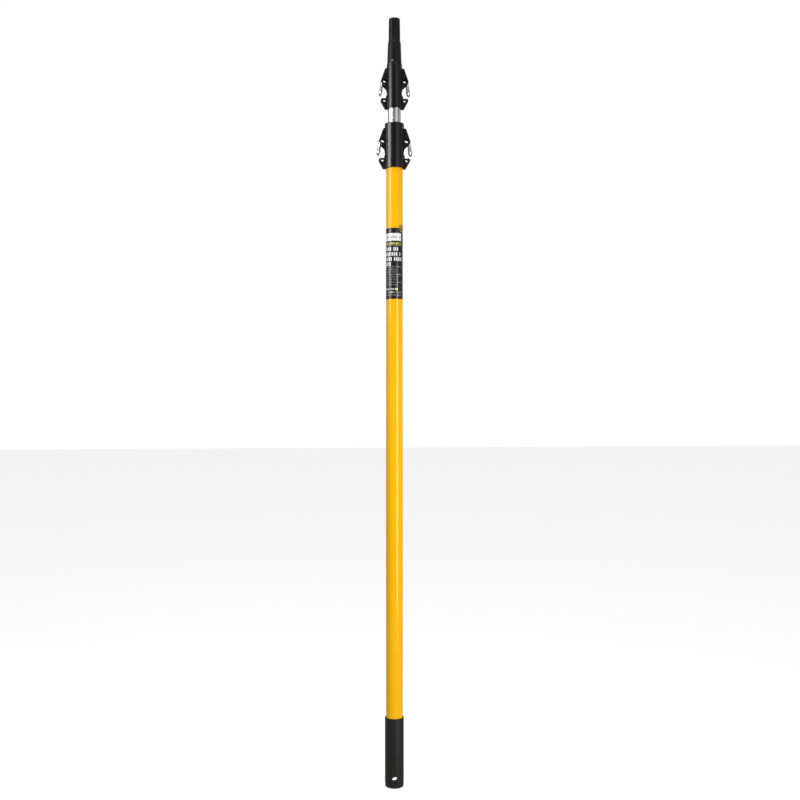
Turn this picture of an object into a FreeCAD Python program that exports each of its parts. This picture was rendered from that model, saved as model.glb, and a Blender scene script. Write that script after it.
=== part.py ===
import FreeCAD, Part
import math
import os

# Three-section telescopic extension pole for paint rollers, with two squeeze-lever locks.
# Millimetres. +Z runs up the pole, the origin is the centre of the grip's end face,
# and the levers of both locks stand out along +X and -X.

# ---- tubes ----------------------------------------------------------------
OUTER_RADIUS = 16.35
OUTER_WALL = 1.5
MIDDLE_RADIUS = 12.7
MIDDLE_WALL = 1.5
INNER_RADIUS = 9.5
INNER_WALL = 1.2
OUTER_BORE = OUTER_RADIUS - OUTER_WALL
MIDDLE_BORE = MIDDLE_RADIUS - MIDDLE_WALL
INNER_BORE = INNER_RADIUS - INNER_WALL
SLIDE_GAP = 0.3              # radial gap between a tube and the bush that guides it
HOLE_PITCH = 45.0            # between two lock holes of a tube
HOLE_COUNT = 25              # the travel of a section is (HOLE_COUNT - 1) * HOLE_PITCH

# ---- heights on the pole ----------------------------------------------------
TOTAL_HEIGHT = 1503.0
GRIP_TOP = 135.4
GRIP_FLOOR = 30.0            # solid end of the grip, below the outer tube
PLUG_TOP = 49.5
MIDDLE_FOOT = 50.0           # underside of the middle section's end bush
MIDDLE_TUBE_FOOT = 62.0
INNER_FOOT = 138.0
INNER_TUBE_FOOT = 150.0
INNER_TUBE_TOP = 1480.0
LABEL_FOOT = 953.0
LABEL_TOP = 1091.4
LOWER_LOCK_Z = 1209.3
UPPER_LOCK_Z = 1326.3
TIP_FOOT = 1414.6

# ---- grip -------------------------------------------------------------------
GRIP_RADIUS = 18.5
HANG_HOLE_Z = 17.0
HANG_HOLE_RADIUS = 6.4
HANG_RELIEF_FLOOR = 2.6      # the hole's back half is opened down to here
GRIP_SCREW_Z = 67.4
GRIP_SCREW_TURN = -30.0      # degrees from the front, positive towards +X

# ---- self-tapping screws of the grip and of both housings ----------------------
SCREW_RADIUS = 1.25
SCREW_HEAD_RADIUS = 2.3
SCREW_HEAD_HEIGHT = 1.1
SCREW_SEAT_RADIUS = 2.4
SCREW_SEAT_DEPTH = 1.2
HOUSING_SCREW_TURNS = (142.0, -142.0)
HOUSING_SCREW_H = 10.0

# ---- roller tip -----------------------------------------------------------------
TIP_RADIUS = 10.8
TIP_STEP_RADIUS = 11.5       # the push-fit part widens to this at its step
TIP_STEP_Z = 1459.5
SKIRT_TOP_RADIUS = 12.75
SKIRT_TOP_Z = 1454.5
SKIRT_RADIUS = 14.1
FLUTE_COUNT = 12
FLUTE_RADIUS = 1.6
FLUTE_DEPTH = 1.2
FLUTE_FOOT = 1467.0
FLUTE_TURN = 6.0             # degrees from the +X side to the first flute
RIVET_Z = TIP_FOOT + 3.4
RIVET_TURN = -22.6           # degrees from the front, positive towards +X
RIVET_RADIUS = 1.6
RIVET_HEAD_RADIUS = 2.1
RIVET_HEAD_HEIGHT = 0.9
RIVET_HALF = 13.75           # from the axis to the underside of a head

# ---- lock, heights above the foot of its housing, radii for the lower lock ---
LOCK_HEIGHT = 88.0
SEAT_TOP = 38.0              # the lower tube of a lock ends here, the guide bush begins
BUSH_WALL = 1.4
BUSH_RIM = 1.2               # how far the bush's rim stands out of its wall
RIM_HEIGHT = 2.0
CHEEK_HALF = 9.0             # half the thickness of the ears, across Y
SLOT_HALF = 6.6              # half the width of the lever's slot between the cheeks
SLOT_FLOOR = 17.6
EAR_TOP = 77.5
EAR_TOP_RADIUS = 22.0
EAR_SLOPE = 0.355            # how fast the ear's edge runs outwards on the way down
WINDOW_RADIUS = 4.2          # round window through both cheeks
WINDOW_AT = (23.7, 53.6)
PIVOT_AT = (21.6, 65.0)
PIVOT_RADIUS = 1.5
PIVOT_CLEARANCE = 0.05
SPRING_RADIUS = 2.35         # middle of the wire, round the pivot pin
SPRING_WIRE = 0.4
SPRING_PITCH = 1.15
SPRING_TURNS = 4             # whole turns, plus the angle between the two arms
LEVER_ARM_ANGLE = 35.0       # where the wire leaves for the lever
LEVER_ARM_LENGTH = 4.2
HOUSING_ARM_ANGLE = 165.0
HOUSING_ARM_LENGTH = 4.9
GUARD_TOP = 19.8
GUARD_HALF = 5.5
GUARD_EYE_AT = (23.7, 15.7)
GUARD_EYE_RADIUS = 2.9
BUMP_FOOT = 18.0
BUMP_TOP = 25.4
BUMP_HALF = 5.0

# ---- lever --------------------------------------------------------------------
LEVER_SHEET = 1.6
LEVER_PROUD = 0.8            # how far the lever's back stands out of the ears' edges
LEVER_HALF = 6.3             # half its width between the cheeks
TOOTH_H = 73.0
TOOTH_RADIUS = 2.3
TOOTH_TAIL_RADIUS = 1.3
TOOTH_HOLE_RADIUS = 4.0
TOOTH_HOLE_LIFT = 0.7        # the lock holes sit higher than the teeth, which swing upwards
TOOTH_INSET = 0.2            # the tooth's end stays this far outside the tube's bore


class Lock:
    """Sizes that differ between the two locks."""

    def __init__(self, name, foot, shift, outer, inner, inner_bore, body, bump):
        self.name = name
        self.foot = foot                # height of the housing's foot
        self.shift = shift              # radial shift of ears, guards and levers
        self.outer = outer              # radius of the tube that carries the housing
        self.inner = inner              # radius of the tube that slides in it
        self.tooth_end = inner_bore + TOOTH_INSET
        self.body = body                # outside radius of the housing's round body
        self.bump = bump


LOWER = Lock("lower", LOWER_LOCK_Z, 0.0, OUTER_RADIUS, MIDDLE_RADIUS, MIDDLE_BORE, 18.9, 19.6)
UPPER = Lock("upper", UPPER_LOCK_Z, -3.8, MIDDLE_RADIUS, INNER_RADIUS, INNER_BORE, 15.1, 16.2)


# ---- building blocks ------------------------------------------------------------

def vec(x, y, z):
    return FreeCAD.Vector(x, y, z)


def outline(corners, place):
    """Closed wire through corners (a, b, radius); place(a, b) gives the point in space."""
    points = [FreeCAD.Vector(a, b, 0) for a, b, radius in corners]
    count = len(points)
    runs = []
    arcs = []
    for i, (a, b, radius) in enumerate(corners):
        here = points[i]
        back = (points[i - 1] - here).normalize()
        ahead = (points[(i + 1) % count] - here).normalize()
        if radius == 0:
            runs.append((here, here))
            arcs.append(None)
            continue
        half = back.getAngle(ahead) / 2
        reach = radius / math.tan(half)
        middle = here + (back + ahead).normalize() * (radius / math.sin(half) - radius)
        runs.append((here + back * reach, here + ahead * reach))
        arcs.append(middle)
    edges = []
    for i in range(count):
        start, end = runs[i]
        if arcs[i] is not None:
            edges.append(Part.Arc(place(start.x, start.y), place(arcs[i].x, arcs[i].y),
                                  place(end.x, end.y)).toShape())
        following = runs[(i + 1) % count][0]
        if (following - end).Length > 1e-6:
            edges.append(Part.makeLine(place(end.x, end.y), place(following.x, following.y)))
    return Part.Wire(edges)


def plate(corners, half):
    """Plate with the outline (x, z, radius), reaching half to each side of the XZ plane."""
    wire = outline(corners, lambda a, b: vec(a, -half, b))
    return Part.Face(wire).extrude(vec(0, 2 * half, 0))


def turned(corners):
    """Solid of revolution about the pole's axis with the outline (radius, z, corner radius)."""
    wire = outline(corners, lambda a, b: vec(a, 0, b))
    return Part.Face(wire).revolve(vec(0, 0, 0), vec(0, 0, 1), 360)


def ring(outer, inner, foot, top):
    return turned([(inner, foot, 0), (outer, foot, 0), (outer, top, 0), (inner, top, 0)])


def rod(radius, start, end):
    return Part.makeCylinder(radius, (end - start).Length, start, end - start)


def block(low, high):
    return Part.makeBox(high[0] - low[0], high[1] - low[1], high[2] - low[2], vec(*low))


def from_front(turn):
    """Level direction at turn degrees from -Y, positive towards +X."""
    angle = math.radians(turn)
    return vec(math.sin(angle), -math.cos(angle), 0)


def other_side(shape):
    """The same thing on the pole's -X side: turned half way about the axis."""
    copy = shape.copy()
    copy.rotate(vec(0, 0, 0), vec(0, 0, 1), 180)
    return copy


def both_sides(shape):
    return shape.fuse(other_side(shape))


def save(name, shape):
    if not shape.isValid():
        print("not valid:", name)
    shape.exportStep("parts/" + name + ".step")


# ---- outer section ------------------------------------------------------------------

def outer_tube():
    tube = ring(OUTER_RADIUS, OUTER_BORE, GRIP_FLOOR, LOWER_LOCK_Z + SEAT_TOP)
    tube = tube.cut(grip_screw_path())
    return tube.cut(housing_screw_paths(LOWER))


def grip_screw_path():
    way = from_front(GRIP_SCREW_TURN)
    centre = vec(0, 0, GRIP_SCREW_Z)
    return rod(SCREW_RADIUS, centre + way * OUTER_BORE, centre + way * (GRIP_RADIUS + 1))


def bottom_grip():
    grip = turned([
        (0, 0, 0), (18.0, 0, 1.8), (GRIP_RADIUS, 14.0, 0), (GRIP_RADIUS, GRIP_TOP, 0.7),
        (OUTER_RADIUS, GRIP_TOP, 0), (OUTER_RADIUS, GRIP_FLOOR, 0), (0, GRIP_FLOOR, 0)])
    reach = GRIP_RADIUS + 1
    hole = rod(HANG_HOLE_RADIUS, vec(0, -reach, HANG_HOLE_Z), vec(0, reach, HANG_HOLE_Z))
    relief = outline([
        (0.0, HANG_HOLE_Z, 0), (0.0, HANG_HOLE_Z - HANG_HOLE_RADIUS + 0.2, 0),
        (reach, HANG_RELIEF_FLOOR, 0), (reach, HANG_HOLE_Z, 0)],
        lambda a, b: vec(-HANG_HOLE_RADIUS + 0.3, a, b))
    relief = Part.Face(relief).extrude(vec(2 * HANG_HOLE_RADIUS - 0.6, 0, 0))
    grip = grip.cut(hole).cut(relief)
    seat = screw_seat(vec(0, 0, GRIP_SCREW_Z), from_front(GRIP_SCREW_TURN), GRIP_RADIUS)
    return grip.cut(grip_screw_path()).cut(seat)


def screw_seat(centre, way, surface):
    """Round recess for a screw's head in a wall whose outside lies at the radius surface."""
    return rod(SCREW_SEAT_RADIUS, centre + way * (surface - SCREW_SEAT_DEPTH), centre + way * (surface + 1))


def head(radius, seat, height):
    """Rounded head of a screw or rivet, standing on seat along +Z."""
    top = seat + height
    return turned([(0, seat, 0), (radius, seat, 0), (radius, top, height * 0.7), (0, top, 0)])


def screw(centre, way, tip, surface):
    """Self-tapping screw along way with a cross recess in its head, which lies in a screw_seat."""
    seat = surface - SCREW_SEAT_DEPTH
    shank = Part.makeCylinder(SCREW_RADIUS, seat - tip, vec(0, 0, tip))
    arm = SCREW_HEAD_RADIUS * 0.6
    thin = 0.25
    low = seat + SCREW_HEAD_HEIGHT * 0.4
    high = seat + SCREW_HEAD_HEIGHT + 1
    recess = block((-arm, -thin, low), (arm, thin, high)).fuse(block((-thin, -arm, low), (thin, arm, high)))
    made = shank.fuse(head(SCREW_HEAD_RADIUS, seat, SCREW_HEAD_HEIGHT)).cut(recess)
    made.Placement = FreeCAD.Placement(centre, FreeCAD.Rotation(vec(0, 0, 1), way))
    return made


def grip_screw():
    return screw(vec(0, 0, GRIP_SCREW_Z), from_front(GRIP_SCREW_TURN), OUTER_BORE, GRIP_RADIUS)


def tube_end_plug():
    return turned([
        (0, GRIP_FLOOR, 0), (OUTER_BORE, GRIP_FLOOR, 0), (OUTER_BORE, PLUG_TOP - 1.5, 0),
        (OUTER_BORE - 1.5, PLUG_TOP, 0), (9.0, PLUG_TOP, 0), (8.0, PLUG_TOP - 8, 0), (0, PLUG_TOP - 8, 0)])


def product_label():
    wire = outline([
        (OUTER_RADIUS, LABEL_FOOT, 0), (OUTER_RADIUS + 0.15, LABEL_FOOT, 0),
        (OUTER_RADIUS + 0.15, LABEL_TOP, 0), (OUTER_RADIUS, LABEL_TOP, 0)],
        lambda a, b: vec(a, 0, b))
    seam = 12.0
    label = Part.Face(wire).revolve(vec(0, 0, 0), vec(0, 0, 1), 360 - 2 * seam)
    label.rotate(vec(0, 0, 0), vec(0, 0, 1), 90 + seam)
    return label


# ---- locks ---------------------------------------------------------------------------

def ear_corners(lock):
    """Side view of an ear: flat top, straight slope out, rounded nose, hollow underside."""
    s = lock.shift
    z = lock.foot
    nose = EAR_TOP_RADIUS + (EAR_TOP - 51.8) * EAR_SLOPE
    return [
        (lock.inner + 2.5, z + 30.0, 0),
        (18.0 + s, z + 31.0, 0),
        (19.3 + s, z + 39.6, 6.0),
        (24.6 + s, z + 44.6, 1.6),
        (29.0 + s, z + 47.2, 2.0),
        (nose + s, z + 51.8, 2.6),
        (EAR_TOP_RADIUS + s, z + EAR_TOP, 1.6),
        (lock.inner + 2.5, z + EAR_TOP, 0)]


def guard_corners(lock):
    """Side view of the hook that covers a lever's tip."""
    s = lock.shift
    z = lock.foot
    return [
        (lock.outer + 1.0, z, 0),
        (22.4 + s, z, 1.6),
        (33.2 + s, z + GUARD_TOP, 3.55),
        (lock.outer + 1.0, z + GUARD_TOP, 0)]


def lock_bore(lock):
    """Everything inside the housing: seat of the lower tube, then the bush's seat."""
    bush = lock.inner + SLIDE_GAP + BUSH_WALL
    z = lock.foot
    seat = z + SEAT_TOP
    rim = z + LOCK_HEIGHT - RIM_HEIGHT
    return turned([
        (0, z - 1, 0), (lock.outer, z - 1, 0), (lock.outer, seat, 0), (bush, seat, 0), (bush, rim, 0),
        (bush + BUSH_RIM, rim, 0), (bush + BUSH_RIM, z + LOCK_HEIGHT + 1, 0), (0, z + LOCK_HEIGHT + 1, 0)])


def tooth_window(lock):
    """Passage for the tooth through the wall; it rises as the lever is squeezed."""
    z = lock.foot + TOOTH_H
    half = TOOTH_RADIUS + 0.6
    return block((lock.inner - 2, -half, z - 3.2), (SLOT_FLOOR + lock.shift + 0.5, half, z + 5.6))


def screw_ways(lock):
    """The two screws stand at the back of the housing, low down round the lower tube."""
    centre = vec(0, 0, lock.foot + HOUSING_SCREW_H)
    return [(centre, from_front(turn)) for turn in HOUSING_SCREW_TURNS]


def housing_screw_paths(lock):
    paths = []
    for centre, way in screw_ways(lock):
        paths.append(rod(SCREW_RADIUS, centre + way * (lock.outer - 2.0), centre + way * (lock.body + 1)))
    return paths[0].fuse(paths[1])


def lock_housing(lock):
    s = lock.shift
    z = lock.foot
    body = turned([
        (0, z, 0), (lock.body, z, 0.8), (lock.body, z + LOCK_HEIGHT, 0.9), (0, z + LOCK_HEIGHT, 0)])
    ear = plate(ear_corners(lock), CHEEK_HALF)
    window = rod(WINDOW_RADIUS, vec(WINDOW_AT[0] + s, -20, z + WINDOW_AT[1]),
                 vec(WINDOW_AT[0] + s, 20, z + WINDOW_AT[1]))
    guard = plate(guard_corners(lock), GUARD_HALF)
    eye = rod(GUARD_EYE_RADIUS, vec(GUARD_EYE_AT[0] + s, -20, z + GUARD_EYE_AT[1]),
              vec(GUARD_EYE_AT[0] + s, 20, z + GUARD_EYE_AT[1]))
    bump = block((lock.outer, -BUMP_HALF, z + BUMP_FOOT), (lock.bump + 0.2, BUMP_HALF, z + BUMP_TOP))
    slot = block((SLOT_FLOOR + s, -SLOT_HALF, z + 30.0), (45, SLOT_HALF, z + EAR_TOP + 2.0))
    pin = rod(PIVOT_RADIUS, pivot_point(lock, -20), pivot_point(lock, 20))

    housing = body.fuse(both_sides(ear)).fuse(both_sides(guard)).fuse(both_sides(bump))
    for tool in (window, eye, slot, pin, tooth_window(lock)):
        housing = housing.cut(both_sides(tool))
    housing = housing.cut(lock_bore(lock))
    for centre, way in screw_ways(lock):
        housing = housing.cut(screw_seat(centre, way, lock.body))
    return housing.cut(housing_screw_paths(lock)).removeSplitter()


def housing_screws(lock):
    made = []
    for centre, way in screw_ways(lock):
        made.append(screw(centre, way, lock.outer - 1.4, lock.body))
    return Part.makeCompound(made)


def guide_bush(lock):
    """Plain-bearing sleeve in the top of the housing, with a rim that keeps it in place."""
    bore = lock.inner + SLIDE_GAP
    wall = bore + BUSH_WALL
    foot = lock.foot + SEAT_TOP
    rim = lock.foot + LOCK_HEIGHT - RIM_HEIGHT
    top = lock.foot + LOCK_HEIGHT - 0.4
    sleeve = turned([
        (bore, foot, 0), (wall, foot, 0), (wall, rim, 0), (wall + BUSH_RIM, rim, 0),
        (wall + BUSH_RIM, top, 0), (bore, top, 0)])
    return sleeve.cut(both_sides(tooth_window(lock)))


def pivot_point(lock, y):
    return vec(PIVOT_AT[0] + lock.shift, y, lock.foot + PIVOT_AT[1])


def pivot_pin(lock):
    end = CHEEK_HALF - 0.3
    pin = rod(PIVOT_RADIUS, pivot_point(lock, -end), pivot_point(lock, end))
    return pin.makeChamfer(0.25, [e for e in pin.Edges if e.Curve.TypeId == "Part::GeomCircle"])


def return_spring(lock):
    """Torsion spring round the pivot pin; one arm bears on the housing, one on the lever."""
    extra = HOUSING_ARM_ANGLE - LEVER_ARM_ANGLE
    length = (SPRING_TURNS + extra / 360) * SPRING_PITCH
    helix = Part.makeHelix(SPRING_PITCH, length, SPRING_RADIUS)
    rise = SPRING_PITCH / (2 * math.pi * SPRING_RADIUS)
    swept = math.radians(extra)
    leaving = vec(0, 1, rise).normalize()
    arriving = vec(-math.sin(swept), math.cos(swept), rise).normalize()
    start = helix.Vertexes[0].Point
    end = helix.Vertexes[-1].Point
    lever_arm = start - leaving * LEVER_ARM_LENGTH
    housing_arm = end + arriving * HOUSING_ARM_LENGTH
    path = Part.Wire([Part.makeLine(lever_arm, start)] + helix.Edges + [Part.makeLine(end, housing_arm)])
    profile = Part.Wire(Part.makeCircle(SPRING_WIRE, lever_arm, leaving))
    spring = path.makePipeShell([profile], True, False)
    spring.translate(vec(0, 0, -length / 2))
    spring.rotate(vec(0, 0, 0), vec(1, 0, 0), 90)
    spring.rotate(vec(0, 0, 0), vec(0, 1, 0), -LEVER_ARM_ANGLE)
    spring.translate(pivot_point(lock, 0))
    return spring


# ---- levers ------------------------------------------------------------------------------

def lever_back(h):
    """Radius of the lever's back at height h while it lies in the ears."""
    return EAR_TOP_RADIUS + (EAR_TOP - h) * EAR_SLOPE + LEVER_PROUD


# height, radius of the back, half width, corner radius of the lever's section
LEVER_SECTIONS = [
    (78.5, lever_back(78.5), LEVER_HALF, 2.0),
    (66.0, lever_back(66.0), LEVER_HALF, 2.0),
    (55.0, lever_back(55.0), LEVER_HALF, 2.2),
    (49.0, 31.2, LEVER_HALF, 2.8),
    (43.5, 32.3, LEVER_HALF, 3.8),
    (38.0, 33.4, 6.45, 4.2),
    (33.5, 34.2, 7.3, 5.2),
    (30.0, 34.6, 7.0, 5.2),
    (27.0, 34.4, 4.9, 4.0),
    (24.6, 33.1, 1.6, 1.4)]


def lever_section(h):
    """Back radius, half width and corner radius at height h, on a smooth curve through the rows."""
    rows = LEVER_SECTIONS
    i = 0
    while i < len(rows) - 2 and h < rows[i + 1][0]:
        i += 1
    upper, lower = rows[i], rows[i + 1]
    before = rows[max(i - 1, 0)]
    after = rows[min(i + 2, len(rows) - 1)]
    span = lower[0] - upper[0]
    t = (h - upper[0]) / span
    values = []
    for k in (1, 2, 3):
        leaving = (lower[k] - before[k]) / (lower[0] - before[0]) * span
        arriving = (after[k] - upper[k]) / (after[0] - upper[0]) * span
        values.append((2 * t**3 - 3 * t**2 + 1) * upper[k] + (t**3 - 2 * t**2 + t) * leaving
                      + (3 * t**2 - 2 * t**3) * lower[k] + (t**3 - t**2) * arriving)
    return values


def lever_bar(lock, inset, foot):
    """Bar with a D-shaped section that follows the lever's back down to foot, inset by the sheet."""
    heights = [LEVER_SECTIONS[0][0], 57.0]
    steps = 22
    for i in range(steps + 1):
        heights.append(54.0 + (foot - 54.0) * i / steps)
    wires = []
    for h in heights:
        back, half, corner = lever_section(h)
        r = back - inset + lock.shift
        half = half - inset
        corner = min(max(corner - inset, 0.5), half - 0.2)
        z = lock.foot + h
        corners = [(14.0 + lock.shift, -half, 0), (r, -half, corner), (r, half, corner),
                   (14.0 + lock.shift, half, 0)]
        wires.append(outline(corners, lambda a, b, z=z: vec(a, b, z)))
    return Part.makeLoft(wires, True, True)


def lever_side(lock):
    """Side view of the lever: pivot plate, slim neck past the window, finger tab."""
    s = lock.shift
    z = lock.foot
    return [
        (45.0, z + 76.8, 0),
        (19.4 + s, z + 76.8, 2.0),
        (18.2 + s, z + 61.4, 3.0),
        (23.0 + s, z + 60.6, 2.0),
        (28.5 + s, z + 57.2, 2.5),
        (28.5 + s, z + 48.6, 2.0),
        (27.2 + s, z + 43.0, 2.5),
        (27.8 + s, z + 31.5, 6.0),
        (31.4 + s, z + 24.3, 2.5),
        (45.0, z + 24.3, 0)]


def lever(lock):
    """Pressed lever on the +X side: a channel with a spoon-shaped finger tab."""
    shell = lever_bar(lock, 0.0, LEVER_SECTIONS[-1][0])
    hollow = lever_bar(lock, LEVER_SHEET, 27.0)
    shell = shell.common(plate(lever_side(lock), 20)).cut(hollow)
    bearing = rod(PIVOT_RADIUS + PIVOT_CLEARANCE, pivot_point(lock, -20), pivot_point(lock, 20))
    height = lock.foot + TOOTH_H
    rivet = rod(TOOTH_TAIL_RADIUS, vec(lock.inner, 0, height), vec(45, 0, height))
    return shell.cut(bearing).cut(rivet)


def lock_tooth(lock):
    """Steel peg riveted to the lever's back; its end stands in a hole of the sliding tube."""
    height = lock.foot + TOOTH_H
    back = lever_back(TOOTH_H) + lock.shift
    seat = back - LEVER_SHEET - 0.9
    peg = rod(TOOTH_RADIUS, vec(lock.tooth_end, 0, height), vec(seat, 0, height))
    circles = [e for e in peg.Edges if e.Curve.TypeId == "Part::GeomCircle"]
    peg = peg.makeChamfer(0.4, [e for e in circles if e.Curve.Center.x < seat - 1])
    tail = rod(TOOTH_TAIL_RADIUS, vec(seat, 0, height), vec(back + 0.2, 0, height))
    return peg.fuse(tail).removeSplitter()


# ---- sliding sections -----------------------------------------------------------------------

def lock_holes(lock):
    """Row of holes through both sides of the tube that slides in the lock."""
    top = lock.foot + TOOTH_H + TOOTH_HOLE_LIFT
    reach = lock.inner + 2
    row = []
    for i in range(HOLE_COUNT):
        height = top - i * HOLE_PITCH
        row.append(rod(TOOTH_HOLE_RADIUS, vec(-reach, 0, height), vec(reach, 0, height)))
    return Part.makeCompound(row)


def middle_tube():
    tube = ring(MIDDLE_RADIUS, MIDDLE_BORE, MIDDLE_TUBE_FOOT, UPPER_LOCK_Z + SEAT_TOP)
    return tube.cut(lock_holes(LOWER)).cut(housing_screw_paths(UPPER))


def end_bush(foot, tube_foot, slide_radius, tube_bore):
    """Plug in a tube's lower end whose rim guides that end in the next larger tube."""
    return turned([
        (0, foot, 0), (slide_radius - 1.0, foot, 0), (slide_radius, foot + 1.0, 0),
        (slide_radius, tube_foot, 0), (tube_bore, tube_foot, 0), (tube_bore, tube_foot + 14.0, 0),
        (tube_bore - 1.0, tube_foot + 15.0, 0), (tube_bore - 2.5, tube_foot + 15.0, 0),
        (tube_bore - 2.5, foot + 3.0, 0), (0, foot + 3.0, 0)])


def inner_tube():
    tube = ring(INNER_RADIUS, INNER_BORE, INNER_TUBE_FOOT, INNER_TUBE_TOP)
    return tube.cut(lock_holes(UPPER)).cut(tip_rivet_path())


def tip_rivet_path():
    way = from_front(RIVET_TURN)
    centre = vec(0, 0, RIVET_Z)
    return rod(RIVET_RADIUS, centre - way * 16, centre + way * 16)


def flutes():
    """Round-ended grooves round the push-fit part, parallel to its surface."""
    slope = (TIP_STEP_RADIUS - TIP_RADIUS) / (TOTAL_HEIGHT - TIP_STEP_Z)
    out = FLUTE_RADIUS - FLUTE_DEPTH
    foot = vec(TIP_STEP_RADIUS - slope * (FLUTE_FOOT - TIP_STEP_Z) + out, 0, FLUTE_FOOT)
    top = vec(TIP_RADIUS - slope + out, 0, TOTAL_HEIGHT + 1)
    groove = rod(FLUTE_RADIUS, foot, top).fuse(Part.makeSphere(FLUTE_RADIUS, foot))
    grooves = []
    for i in range(FLUTE_COUNT):
        copy = groove.copy()
        copy.rotate(vec(0, 0, 0), vec(0, 0, 1), FLUTE_TURN + i * 360.0 / FLUTE_COUNT)
        grooves.append(copy)
    return Part.makeCompound(grooves)


def roller_tip():
    """Push-fit cone for roller frames: smooth skirt, step, and a fluted upper half."""
    cone = turned([
        (INNER_RADIUS, TIP_FOOT, 0), (SKIRT_RADIUS, TIP_FOOT, 0.5), (SKIRT_TOP_RADIUS, SKIRT_TOP_Z, 1.0),
        (TIP_STEP_RADIUS, TIP_STEP_Z, 0.8), (TIP_RADIUS, TOTAL_HEIGHT, 0.5), (0, TOTAL_HEIGHT, 0),
        (0, INNER_TUBE_TOP, 0), (INNER_RADIUS, INNER_TUBE_TOP, 0)])
    centre = vec(0, 0, RIVET_Z)
    way = from_front(RIVET_TURN)
    for side in (-1, 1):
        out = way * side
        cone = cone.cut(rod(RIVET_HEAD_RADIUS + 0.1, centre + out * RIVET_HALF, centre + out * 20))
    return cone.cut(flutes()).cut(tip_rivet_path())


def tip_rivet():
    """Tubular rivet through the cone's foot and the inner tube, with a head at each end."""
    rivet = rod(RIVET_RADIUS, vec(0, 0, -RIVET_HALF), vec(0, 0, RIVET_HALF))
    cap = head(RIVET_HEAD_RADIUS, RIVET_HALF, RIVET_HEAD_HEIGHT)
    far_cap = cap.copy()
    far_cap.rotate(vec(0, 0, 0), vec(1, 0, 0), 180)
    rivet = rivet.fuse(cap).fuse(far_cap)
    turn = FreeCAD.Rotation(vec(0, 0, 1), from_front(RIVET_TURN))
    rivet.Placement = FreeCAD.Placement(vec(0, 0, RIVET_Z), turn)
    return rivet


# ---- everything, one file per piece -----------------------------------------------------------

os.makedirs("parts", exist_ok=True)

save("outer_tube", outer_tube())
save("bottom_grip", bottom_grip())
save("grip_screw", grip_screw())
save("tube_end_plug", tube_end_plug())
save("product_label", product_label())
save("middle_tube", middle_tube())
save("middle_end_bush", end_bush(MIDDLE_FOOT, MIDDLE_TUBE_FOOT, OUTER_BORE - SLIDE_GAP, MIDDLE_BORE))
save("inner_tube", inner_tube())
save("inner_end_bush", end_bush(INNER_FOOT, INNER_TUBE_FOOT, MIDDLE_BORE - SLIDE_GAP, INNER_BORE))
save("roller_tip", roller_tip())
save("tip_rivet", tip_rivet())

for lock in (LOWER, UPPER):
    save(lock.name + "_lock_housing", lock_housing(lock))
    save(lock.name + "_guide_bush", guide_bush(lock))
    save(lock.name + "_housing_screws", housing_screws(lock))
    pieces = {"pivot_pin": pivot_pin(lock), "return_spring": return_spring(lock),
              "lever": lever(lock), "lock_tooth": lock_tooth(lock)}
    for piece, shape in pieces.items():
        save(lock.name + "_right_" + piece, shape)
        save(lock.name + "_left_" + piece, other_side(shape))
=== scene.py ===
import bmesh
import bpy
import math
import random
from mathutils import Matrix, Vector


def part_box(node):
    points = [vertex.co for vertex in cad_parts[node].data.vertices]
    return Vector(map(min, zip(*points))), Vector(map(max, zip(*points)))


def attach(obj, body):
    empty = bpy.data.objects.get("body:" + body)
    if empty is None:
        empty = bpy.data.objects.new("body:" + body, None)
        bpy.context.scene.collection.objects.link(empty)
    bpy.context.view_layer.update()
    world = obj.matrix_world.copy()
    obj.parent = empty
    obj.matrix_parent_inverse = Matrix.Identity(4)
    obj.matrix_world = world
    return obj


# Looks, light and camera for the telescopic extension pole. Metres, the same frame as the CAD.

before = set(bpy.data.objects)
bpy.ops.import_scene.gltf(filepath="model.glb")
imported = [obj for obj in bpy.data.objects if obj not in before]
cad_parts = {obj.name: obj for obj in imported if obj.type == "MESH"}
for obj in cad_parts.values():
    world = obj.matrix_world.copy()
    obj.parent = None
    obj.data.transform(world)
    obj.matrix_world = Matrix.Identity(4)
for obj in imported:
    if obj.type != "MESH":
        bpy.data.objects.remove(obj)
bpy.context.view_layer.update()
scene = bpy.context.scene
dice = random.Random(11)

CAMERA_AZIMUTH = -6.0        # degrees, seen from slightly left of straight on
CAMERA_DISTANCE = 1.98
CAMERA_HEIGHT = 0.7562
CAMERA_ASIDE = 0.011         # the pole stands a little left of the picture's middle
CAMERA_LENS = 45.43

TIP_RADIUS = 0.0108          # of the roller tip at its end
FLUTE_FOOT = 1.467           # height the flutes start at

PRINT_LIFT = 0.00002         # ink stands this far off the label
PRINT_THICKNESS = 0.00004


# ---- material nodes -----------------------------------------------------------------

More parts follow.
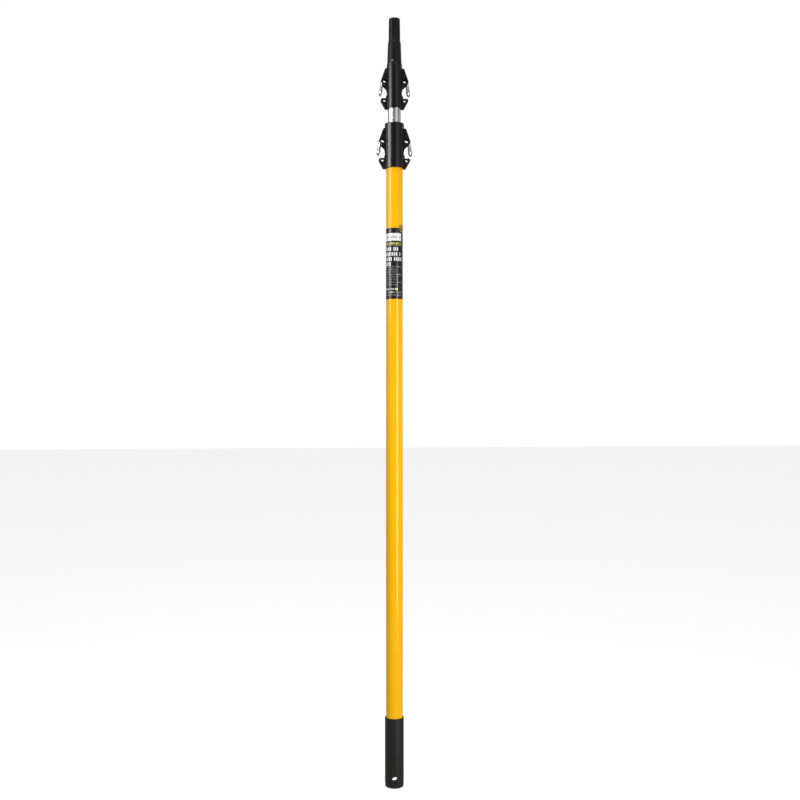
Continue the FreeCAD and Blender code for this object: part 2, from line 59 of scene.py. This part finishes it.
class Surface:
    """A material on the Principled shader, built up from noise in the object's own coordinates."""

    def __init__(self, name, metallic=0.0, coat=0.0, coat_roughness=0.1, specular=0.5, sheen=0.0):
        self.material = bpy.data.materials.new(name)
        self.material.use_nodes = True
        self.tree = self.material.node_tree
        self.shader = self.tree.nodes["Principled BSDF"]
        self.shader.inputs["Metallic"].default_value = metallic
        self.shader.inputs["Coat Weight"].default_value = coat
        self.shader.inputs["Coat Roughness"].default_value = coat_roughness
        self.shader.inputs["Specular IOR Level"].default_value = specular
        self.shader.inputs["Sheen Weight"].default_value = sheen
        self.place = self.node("ShaderNodeTexCoord").outputs["Object"]
        self.height = None

    def node(self, kind, inputs=(), **settings):
        made = self.tree.nodes.new(kind)
        for name, value in settings.items():
            setattr(made, name, value)
        for name, value in dict(inputs).items():
            self.feed(made.inputs[name], value)
        return made

    def feed(self, socket, value):
        if isinstance(value, bpy.types.NodeSocket):
            self.tree.links.new(value, socket)
        else:
            socket.default_value = value

    def noise(self, scale, stretch=(1, 1, 1), detail=3.0, distortion=0.0):
        """Noise from 0 to 1; scale is in cells per metre, stretch scales each axis."""
        spread = self.node("ShaderNodeMapping", {"Vector": self.place, "Scale": stretch})
        made = self.node("ShaderNodeTexNoise", {
            "Vector": spread.outputs["Vector"], "Scale": scale, "Detail": detail, "Distortion": distortion})
        return made.outputs["Fac"]

    def ramp(self, value, low, high, out_low=0.0, out_high=1.0):
        made = self.node("ShaderNodeMapRange", {
            "Value": value, "From Min": low, "From Max": high, "To Min": out_low, "To Max": out_high})
        return made.outputs["Result"]

    def maths(self, operation, first, second):
        made = self.node("ShaderNodeMath", operation=operation)
        self.feed(made.inputs[0], first)
        self.feed(made.inputs[1], second)
        return made.outputs["Value"]

    def mix(self, share, first, second):
        made = self.node("ShaderNodeMix", data_type="RGBA")
        self.feed(made.inputs["Factor"], share)
        self.feed(made.inputs["A"], first)
        self.feed(made.inputs["B"], second)
        return made.outputs["Result"]

    def axis(self, name):
        return self.node("ShaderNodeSeparateXYZ", {"Vector": self.place}).outputs[name]

    def raise_by(self, value, depth):
        """Adds a relief of the given depth in metres to the bump."""
        step = self.maths("MULTIPLY", value, depth)
        self.height = step if self.height is None else self.maths("ADD", self.height, step)

    def done(self, colour, roughness):
        self.feed(self.shader.inputs["Base Color"], colour)
        self.feed(self.shader.inputs["Roughness"], roughness)
        bump = self.node("ShaderNodeBump", {"Height": self.height, "Strength": 1.0, "Distance": 1.0})
        self.feed(self.shader.inputs["Normal"], bump.outputs["Normal"])
        return self.material


def rgb(red, green, blue):
    return (red, green, blue, 1.0)


def yellow_lacquer():
    s = Surface("yellow_lacquer", specular=0.3)
    cloud = s.noise(9.0, (1, 1, 0.35))
    fleck = s.noise(420.0, (1, 1, 0.3), detail=5.0)
    colour = s.mix(s.ramp(cloud, 0.35, 0.7), rgb(0.95, 0.475, 0.0), rgb(0.97, 0.505, 0.002))
    colour = s.mix(s.ramp(fleck, 0.62, 0.8, 0.0, 0.12), colour, rgb(0.80, 0.37, 0.0))
    scuff = s.ramp(s.noise(60.0, (1, 1, 0.08), detail=6.0), 0.55, 0.8)
    s.raise_by(s.noise(900.0, (1, 1, 0.02)), 0.0000025)
    s.raise_by(s.noise(350.0), 0.000003)
    return s.done(colour, s.ramp(scuff, 0.0, 1.0, 0.17, 0.26))


def bare_aluminium():
    s = Surface("bare_aluminium", metallic=1.0)
    streak = s.noise(700.0, (1, 1, 0.012), detail=5.0)
    cloud = s.noise(30.0, (1, 1, 0.3))
    colour = s.mix(s.ramp(streak, 0.35, 0.7), rgb(0.80, 0.80, 0.76), rgb(0.90, 0.90, 0.87))
    colour = s.mix(s.ramp(cloud, 0.5, 0.8, 0.0, 0.25), colour, rgb(0.70, 0.70, 0.67))
    s.raise_by(streak, 0.000004)
    s.raise_by(s.noise(2600.0, (1, 1, 0.02)), 0.0000015)
    return s.done(colour, s.ramp(streak, 0.3, 0.75, 0.26, 0.38))


def bright_plate():
    s = Surface("bright_plate", metallic=1.0)
    cloud = s.noise(120.0, (1, 1, 0.5))
    line = s.noise(1800.0, (1, 1, 0.05), detail=4.0)
    colour = s.mix(s.ramp(cloud, 0.35, 0.7), rgb(0.84, 0.84, 0.82), rgb(0.93, 0.93, 0.92))
    s.raise_by(line, 0.000003)
    s.raise_by(s.noise(90.0), 0.00003)
    return s.done(colour, s.ramp(line, 0.3, 0.75, 0.20, 0.32))


def moulded_plastic(name, dark, light, rough_low, rough_high, grain, depth, specular=0.5):
    """Black moulded plastic with a spark-eroded texture and cloudy gloss."""
    s = Surface(name, specular=specular)
    cloud = s.noise(45.0)
    spot = s.noise(grain, detail=4.0)
    colour = s.mix(s.ramp(cloud, 0.3, 0.75), dark, light)
    colour = s.mix(s.ramp(spot, 0.6, 0.85, 0.0, 0.5), colour, light)
    s.raise_by(spot, depth)
    s.raise_by(s.noise(140.0), 0.00002)
    return s, colour, s.ramp(cloud, 0.3, 0.75, rough_low, rough_high)


def lock_plastic():
    s, colour, rough = moulded_plastic(
        "lock_plastic", rgb(0.0030, 0.0030, 0.0024), rgb(0.0052, 0.0052, 0.0043),
        0.23, 0.29, 2600.0, 0.000012, specular=0.55)
    return s.done(colour, rough)


def grip_plastic():
    s, colour, rough = moulded_plastic(
        "grip_plastic", rgb(0.0075, 0.0065, 0.0035), rgb(0.0110, 0.0095, 0.0055), 0.34, 0.42, 1900.0, 0.00002)
    foot = s.ramp(s.axis("Z"), 0.0, 0.012, 1.0, 0.0)
    worn = s.maths("MULTIPLY", foot, s.ramp(s.noise(260.0, detail=6.0), 0.45, 0.7))
    colour = s.mix(s.maths("MULTIPLY", worn, 0.5), colour, rgb(0.055, 0.052, 0.045))
    return s.done(colour, rough)


def tip_plastic(low, high):
    s, colour, rough = moulded_plastic(
        "tip_plastic", rgb(0.0060, 0.0060, 0.0050), rgb(0.0100, 0.0100, 0.0085),
        0.28, 0.36, 2200.0, 0.000014, specular=0.3)
    reach = s.ramp(s.axis("Z"), low, high)
    rub = s.ramp(s.noise(600.0, (1, 1, 0.06), detail=5.0), 0.52, 0.72)
    worn = s.maths("MULTIPLY", s.maths("MULTIPLY", reach, rub), 0.35)
    colour = s.mix(worn, colour, rgb(0.06, 0.06, 0.056))
    flat = {0: s.place, 1: (1, 1, 0)}
    across = s.node("ShaderNodeVectorMath", flat, operation="MULTIPLY").outputs["Vector"]
    radius = s.node("ShaderNodeVectorMath", {0: across}, operation="LENGTH").outputs["Value"]
    fluted = s.ramp(s.axis("Z"), FLUTE_FOOT, FLUTE_FOOT + 0.002)
    # Painted shade: the flute grooves are darkened almost to black in the colour, standing in for the shade
    # inside them; the same mask also makes them rougher.
    groove_shade_mask = s.maths("MULTIPLY", fluted, s.ramp(radius, TIP_RADIUS - 0.0008, TIP_RADIUS - 0.0001, 1.0, 0.0))
    colour = s.mix(groove_shade_mask, colour, rgb(0.002, 0.002, 0.002))
    return s.done(colour, s.maths("ADD", rough, s.maths("MULTIPLY", groove_shade_mask, 0.5)))


def nylon():
    s = Surface("nylon")
    s.shader.inputs["Subsurface Weight"].default_value = 0.15
    s.shader.inputs["Subsurface Radius"].default_value = (0.002, 0.002, 0.0015)
    cloud = s.noise(80.0)
    colour = s.mix(s.ramp(cloud, 0.3, 0.7), rgb(0.68, 0.66, 0.58), rgb(0.78, 0.77, 0.70))
    s.raise_by(s.noise(1500.0), 0.00001)
    return s.done(colour, s.ramp(cloud, 0.3, 0.7, 0.38, 0.5))


def turned_steel(name, dark, light, rough_low, rough_high, stretch):
    """Steel with fine tool or drawing marks along one axis."""
    s = Surface(name, metallic=1.0)
    mark = s.noise(2400.0, stretch, detail=4.0)
    cloud = s.noise(300.0)
    colour = s.mix(s.ramp(cloud, 0.3, 0.75), dark, light)
    s.raise_by(mark, 0.000005)
    return s.done(colour, s.ramp(mark, 0.3, 0.75, rough_low, rough_high))


def label_film():
    s = Surface("label_film", coat=0.25, coat_roughness=0.1, specular=0.35)
    cloud = s.noise(60.0)
    colour = s.mix(s.ramp(cloud, 0.3, 0.7), rgb(0.0085, 0.0085, 0.0075), rgb(0.0135, 0.0130, 0.0115))
    s.raise_by(s.noise(55.0, (1, 1, 0.4)), 0.00003)
    s.raise_by(s.noise(1200.0), 0.000002)
    return s.done(colour, s.ramp(cloud, 0.3, 0.7, 0.26, 0.34))


def ink(name, light, dark):
    s = Surface(name, coat=0.3, coat_roughness=0.12)
    fleck = s.noise(1500.0, detail=4.0)
    colour = s.mix(s.ramp(fleck, 0.55, 0.8), light, dark)
    s.raise_by(fleck, 0.000002)
    return s.done(colour, s.ramp(fleck, 0.3, 0.8, 0.28, 0.4))


def dress(node, material):
    """Gives a CAD node its finished material."""
    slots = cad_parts[node].data.materials
    slots.clear()
    slots.append(material)


def round_off(node):
    """Evens out the shading of the narrow strips that the pressed sheet is lofted from."""
    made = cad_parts[node].modifiers.new("even_normals", "WEIGHTED_NORMAL")
    made.keep_sharp = True


yellow = yellow_lacquer()
aluminium = bare_aluminium()
plate = bright_plate()
black_lock = lock_plastic()
white_nylon = nylon()
low_tip, high_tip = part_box("roller_tip")
black_steel = turned_steel(
    "black_steel", rgb(0.045, 0.045, 0.044), rgb(0.085, 0.085, 0.082), 0.3, 0.45, (1, 1, 1))
tool_steel = turned_steel(
    "tooth_steel", rgb(0.42, 0.42, 0.41), rgb(0.56, 0.56, 0.55), 0.22, 0.36, (1, 0.05, 0.05))
wire = turned_steel(
    "spring_wire", rgb(0.26, 0.26, 0.26), rgb(0.38, 0.38, 0.38), 0.28, 0.42, (0.4, 1, 1))
rivet_metal = turned_steel(
    "rivet_metal", rgb(0.22, 0.22, 0.21), rgb(0.34, 0.34, 0.33), 0.3, 0.42, (1, 0.2, 1))

dress("outer_tube", yellow)
dress("bottom_grip", grip_plastic())
dress("grip_screw", black_steel)
dress("tube_end_plug", white_nylon)
dress("product_label", label_film())
dress("middle_tube", aluminium)
dress("middle_end_bush", white_nylon)
dress("inner_tube", aluminium)
dress("inner_end_bush", white_nylon)
dress("roller_tip", tip_plastic(low_tip.z, high_tip.z))
dress("tip_rivet", rivet_metal)
for lock in ("lower", "upper"):
    dress(lock + "_lock_housing", black_lock)
    dress(lock + "_guide_bush", white_nylon)
    dress(lock + "_housing_screws", black_steel)
    for side in ("right", "left"):
        dress(f"{lock}_{side}_pivot_pin", black_steel)
        dress(f"{lock}_{side}_return_spring", wire)
        dress(f"{lock}_{side}_lever", plate)
        round_off(f"{lock}_{side}_lever")
        dress(f"{lock}_{side}_lock_tooth", tool_steel)


# ---- print on the label ------------------------------------------------------------------

class Print:
    """Ink on the label: curved bars and discs collected in one mesh."""

    def __init__(self, name, material, level=0):
        self.name = name
        self.material = material
        self.mesh = bmesh.new()
        self.inner = label_radius + PRINT_LIFT + level * PRINT_THICKNESS
        self.outer = self.inner + PRINT_THICKNESS

    def point(self, radius, turn, height):
        """Point on the tube: turn in degrees from the front, positive to the right."""
        angle = math.radians(turn)
        return Vector((radius * math.sin(angle), -radius * math.cos(angle), height))

    def patch(self, edge):
        """Closed thin patch with the given outline of (turn, height) points."""
        back = [self.mesh.verts.new(self.point(self.inner, *p)) for p in edge]
        front = [self.mesh.verts.new(self.point(self.outer, *p)) for p in edge]
        count = len(edge)
        for i in range(count):
            j = (i + 1) % count
            self.mesh.faces.new((back[i], back[j], front[j], front[i]))
        return back, front

    def bar(self, left, right, low, high):
        """Rectangle of ink between two turns and two heights, in strips that follow the tube."""
        strips = max(1, int((right - left) / 6.0))
        turns = [left + (right - left) * i / strips for i in range(strips + 1)]
        edge = [(t, low) for t in turns] + [(t, high) for t in reversed(turns)]
        back, front = self.patch(edge)
        top = len(edge) - 1
        for i in range(strips):
            self.mesh.faces.new((front[i], front[i + 1], front[top - i - 1], front[top - i]))
            self.mesh.faces.new((back[i + 1], back[i], back[top - i], back[top - i - 1]))

    def disc(self, turn, height, radius, hole=0.0):
        """Round spot or, with a hole, a ring of ink."""
        count = 48
        rims = []
        for size in (radius, max(hole, 0.0001)):
            spread = math.degrees(size / label_radius)
            rims.append([(turn + spread * math.cos(2 * math.pi * i / count),
                          height + size * math.sin(2 * math.pi * i / count)) for i in range(count)])
        outside = [self.patch(rims[0]), self.patch(rims[1])]
        for i in range(count):
            j = (i + 1) % count
            for layer in (0, 1):
                self.mesh.faces.new((outside[0][layer][i], outside[0][layer][j],
                                     outside[1][layer][j], outside[1][layer][i]))

    def words(self, left, right, low, high, letter, gap):
        """A line of solid blocks in groups, in place of printed words."""
        at = left
        run = dice.randint(4, 8)
        while at + letter <= right:
            wide = letter * dice.uniform(0.6, 1.25)
            self.bar(at, min(at + wide, right), low, high)
            at += wide + gap
            run -= 1
            if run == 0:
                at += gap * 2.5
                run = dice.randint(3, 9)

    def finish(self):
        bmesh.ops.recalc_face_normals(self.mesh, faces=self.mesh.faces)
        data = bpy.data.meshes.new(self.name)
        self.mesh.to_mesh(data)
        self.mesh.free()
        data.materials.append(self.material)
        made = bpy.data.objects.new(self.name, data)
        scene.collection.objects.link(made)
        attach(made, "outer_section")
        return made


label_low, label_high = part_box("product_label")
label_radius = label_high.x
label_top = label_high.z

white_ink = ink("white_ink", rgb(0.86, 0.83, 0.81), rgb(0.72, 0.69, 0.67))
grey_ink = ink("grey_ink", rgb(0.24, 0.24, 0.22), rgb(0.16, 0.16, 0.15))
yellow_ink = ink("yellow_ink", rgb(0.62, 0.60, 0.12), rgb(0.45, 0.43, 0.08))
brown_ink = ink("brown_ink", rgb(0.27, 0.13, 0.05), rgb(0.20, 0.09, 0.04))

PANEL_LEFT = -118.0
PANEL_RIGHT = 46.0
HEADLINE_HEIGHT = 0.0070
SMALL_PRINT_DROP = 0.0750    # from the label's top to the first small line
SMALL_PRINT_PITCH = 0.0050
SMALL_PRINT_ROWS = 8
SMALL_PRINT_HEIGHT = 0.0017
TEXT_LEFT = -96.0            # where the small lines start, in degrees from the front
BADGE_TURN = 56.0
BADGE_DROP = 0.0005          # from the label's top to the badge's middle

panel = Print("label_panel", white_ink)
panel.bar(PANEL_LEFT, PANEL_RIGHT, label_top - 0.0251, label_top - 0.0103)
panel.finish()

panel_marks = Print("label_panel_marks", grey_ink, level=2)
panel_marks.words(-62.0, 38.0, label_top - 0.0205, label_top - 0.0160, 5.0, 6.0)
panel_marks.finish()

headline = Print("label_headline", white_ink)
for top, right in ((0.0377, 27.0), (0.0475, 45.0), (0.0572, 57.0), (0.0669, -14.0)):
    headline.words(-84.0, right, label_top - top - HEADLINE_HEIGHT, label_top - top, 8.5, 4.6)
headline.finish()

small_print = Print("label_small_print", grey_ink)
small_print.bar(PANEL_LEFT, PANEL_RIGHT, label_top - 0.0345, label_top - 0.0335)
for row in range(SMALL_PRINT_ROWS):
    top = label_top - SMALL_PRINT_DROP - row * SMALL_PRINT_PITCH
    right = PANEL_RIGHT if row % 3 == 0 else dice.uniform(-16.0, 30.0)
    small_print.words(TEXT_LEFT, right, top - SMALL_PRINT_HEIGHT, top, 5.0, 1.8)
small_print.words(TEXT_LEFT, PANEL_RIGHT, label_top - 0.1265, label_top - 0.1240, 6.0, 2.0)
small_print.words(TEXT_LEFT, PANEL_RIGHT, label_top - 0.1316, label_top - 0.1297, 6.0, 2.0)
small_print.finish()

yellow_lines = Print("label_yellow_lines", yellow_ink)
yellow_lines.words(-88.0, 52.0, label_top - 0.0325, label_top - 0.0283, 6.0, 2.4)
yellow_lines.bar(-2.0, 17.0, label_top - 0.1216, label_top - 0.1172)
yellow_lines.finish()

small_blocks = Print("label_small_blocks", white_ink)
small_blocks.words(TEXT_LEFT, -5.0, label_top - 0.1206, label_top - 0.1180, 8.0, 3.0)
small_blocks.bar(-30.0, -17.0, label_top - 0.1268, label_top - 0.1238)
small_blocks.finish()

badge = Print("label_badge", brown_ink, level=4)
badge.disc(BADGE_TURN, label_top - BADGE_DROP, 0.0083)
badge.finish()

badge_ring = Print("label_badge_ring", yellow_ink, level=6)
badge_ring.disc(BADGE_TURN, label_top - BADGE_DROP, 0.0066, hole=0.0058)
badge_ring.finish()


# ---- floor, light, camera -------------------------------------------------------------------

def heading(turn):
    """Level direction from the pole, in degrees to the right of the camera as the camera sees it."""
    a = math.radians(CAMERA_AZIMUTH)
    t = math.radians(turn)
    back = Vector((math.sin(a), -math.cos(a), 0))
    right = Vector((math.cos(a), math.sin(a), 0))
    return back * math.cos(t) + right * math.sin(t)


def softbox(name, turn, distance, height, width, tall, power, aim):
    light = bpy.data.lights.new(name, "AREA")
    light.shape = "RECTANGLE"
    light.size = width
    light.size_y = tall
    light.energy = power
    made = bpy.data.objects.new(name, light)
    made.location = heading(turn) * distance + Vector((0, 0, height))
    made.rotation_euler = (Vector((0, 0, aim)) - made.location).to_track_quat("-Z", "Y").to_euler()
    made.visible_camera = False
    scene.collection.objects.link(made)
    return made


def floor():
    size = 14.0
    mesh = bpy.data.meshes.new("studio_floor")
    corners = [(-size, -size, 0), (size, -size, 0), (size, size, 0), (-size, size, 0)]
    mesh.from_pydata(corners, [], [(0, 1, 2, 3)])
    made = bpy.data.objects.new("studio_floor", mesh)
    scene.collection.objects.link(made)
    s = Surface("pale_floor", specular=0.0)
    s.raise_by(s.noise(40.0), 0.0)
    cloud = s.noise(3.0)
    paint = s.done(s.mix(cloud, rgb(0.34, 0.34, 0.34), rgb(0.36, 0.36, 0.36)), 0.9)
    s.shader.inputs["Emission Color"].default_value = rgb(1, 1, 1)
    seen = s.node("ShaderNodeLightPath").outputs["Is Camera Ray"]
    s.feed(s.shader.inputs["Emission Strength"], s.maths("MULTIPLY", seen, 0.8))
    mesh.materials.append(paint)


class Room:
    """World light: a dim studio with soft glows for the object, a white backdrop for the camera."""

    def __init__(self, dim):
        world = bpy.data.worlds.new("studio")
        world.use_nodes = True
        scene.world = world
        self.tree = world.node_tree
        self.tree.nodes.clear()
        self.ray = self.tree.nodes.new("ShaderNodeTexCoord").outputs["Generated"]
        self.strength = self.tree.nodes.new("ShaderNodeValue").outputs[0]
        self.strength.default_value = dim

    def glow(self, turn, lift, inner, outer, amount):
        """Adds a glow of amount within inner degrees of a direction, fading out by outer degrees."""
        aim = heading(turn) * math.cos(math.radians(lift)) + Vector((0, 0, math.sin(math.radians(lift))))
        dot = self.tree.nodes.new("ShaderNodeVectorMath")
        dot.operation = "DOT_PRODUCT"
        dot.inputs[1].default_value = aim
        self.tree.links.new(self.ray, dot.inputs[0])
        fade = self.tree.nodes.new("ShaderNodeMapRange")
        fade.interpolation_type = "SMOOTHSTEP"
        fade.inputs["From Min"].default_value = math.cos(math.radians(outer))
        fade.inputs["From Max"].default_value = math.cos(math.radians(inner))
        fade.inputs["To Max"].default_value = amount
        self.tree.links.new(dot.outputs["Value"], fade.inputs["Value"])
        total = self.tree.nodes.new("ShaderNodeMath")
        total.operation = "ADD"
        self.tree.links.new(self.strength, total.inputs[0])
        self.tree.links.new(fade.outputs["Result"], total.inputs[1])
        self.strength = total.outputs["Value"]

    def done(self):
        tree = self.tree
        room = tree.nodes.new("ShaderNodeBackground")
        tree.links.new(self.strength, room.inputs["Strength"])
        backdrop = tree.nodes.new("ShaderNodeBackground")
        backdrop.inputs["Strength"].default_value = 1.0
        for background in (room, backdrop):
            background.inputs["Color"].default_value = rgb(1, 1, 1)
        path = tree.nodes.new("ShaderNodeLightPath")
        choose = tree.nodes.new("ShaderNodeMixShader")
        out = tree.nodes.new("ShaderNodeOutputWorld")
        tree.links.new(path.outputs["Is Camera Ray"], choose.inputs["Fac"])
        tree.links.new(room.outputs["Background"], choose.inputs[1])
        tree.links.new(backdrop.outputs["Background"], choose.inputs[2])
        tree.links.new(choose.outputs["Shader"], out.inputs["Surface"])


floor()
room = Room(0.21)
room.glow(0.0, 14.0, 10.0, 26.0, -0.13)
room.glow(38.0, 12.0, 8.0, 28.0, 0.42)
room.glow(135.0, 12.0, 20.0, 45.0, 0.25)
room.glow(-78.0, 22.0, 34.0, 42.0, 0.22)
room.done()
softbox("left_softbox", -63.0, 1.7, 1.51, 1.05, 0.84, 20.5, 1.51)
softbox("right_strip", 41.0, 1.4, 0.61, 0.25, 1.12, 16.5, 0.61)
softbox("top_softbox", 0.0, 0.9, 4.2, 2.4, 1.6, 42.0, 0.7)

camera_data = bpy.data.cameras.new("camera")
camera_data.lens = CAMERA_LENS
camera_data.sensor_width = 36.0
camera = bpy.data.objects.new("camera", camera_data)
scene.collection.objects.link(camera)
scene.camera = camera
aside = heading(90.0) * CAMERA_ASIDE
camera.location = heading(0.0) * CAMERA_DISTANCE + aside + Vector((0, 0, CAMERA_HEIGHT))
camera.rotation_euler = heading(180.0).to_track_quat("-Z", "Y").to_euler()

scene.view_settings.view_transform = "Standard"
scene.view_settings.look = "None"
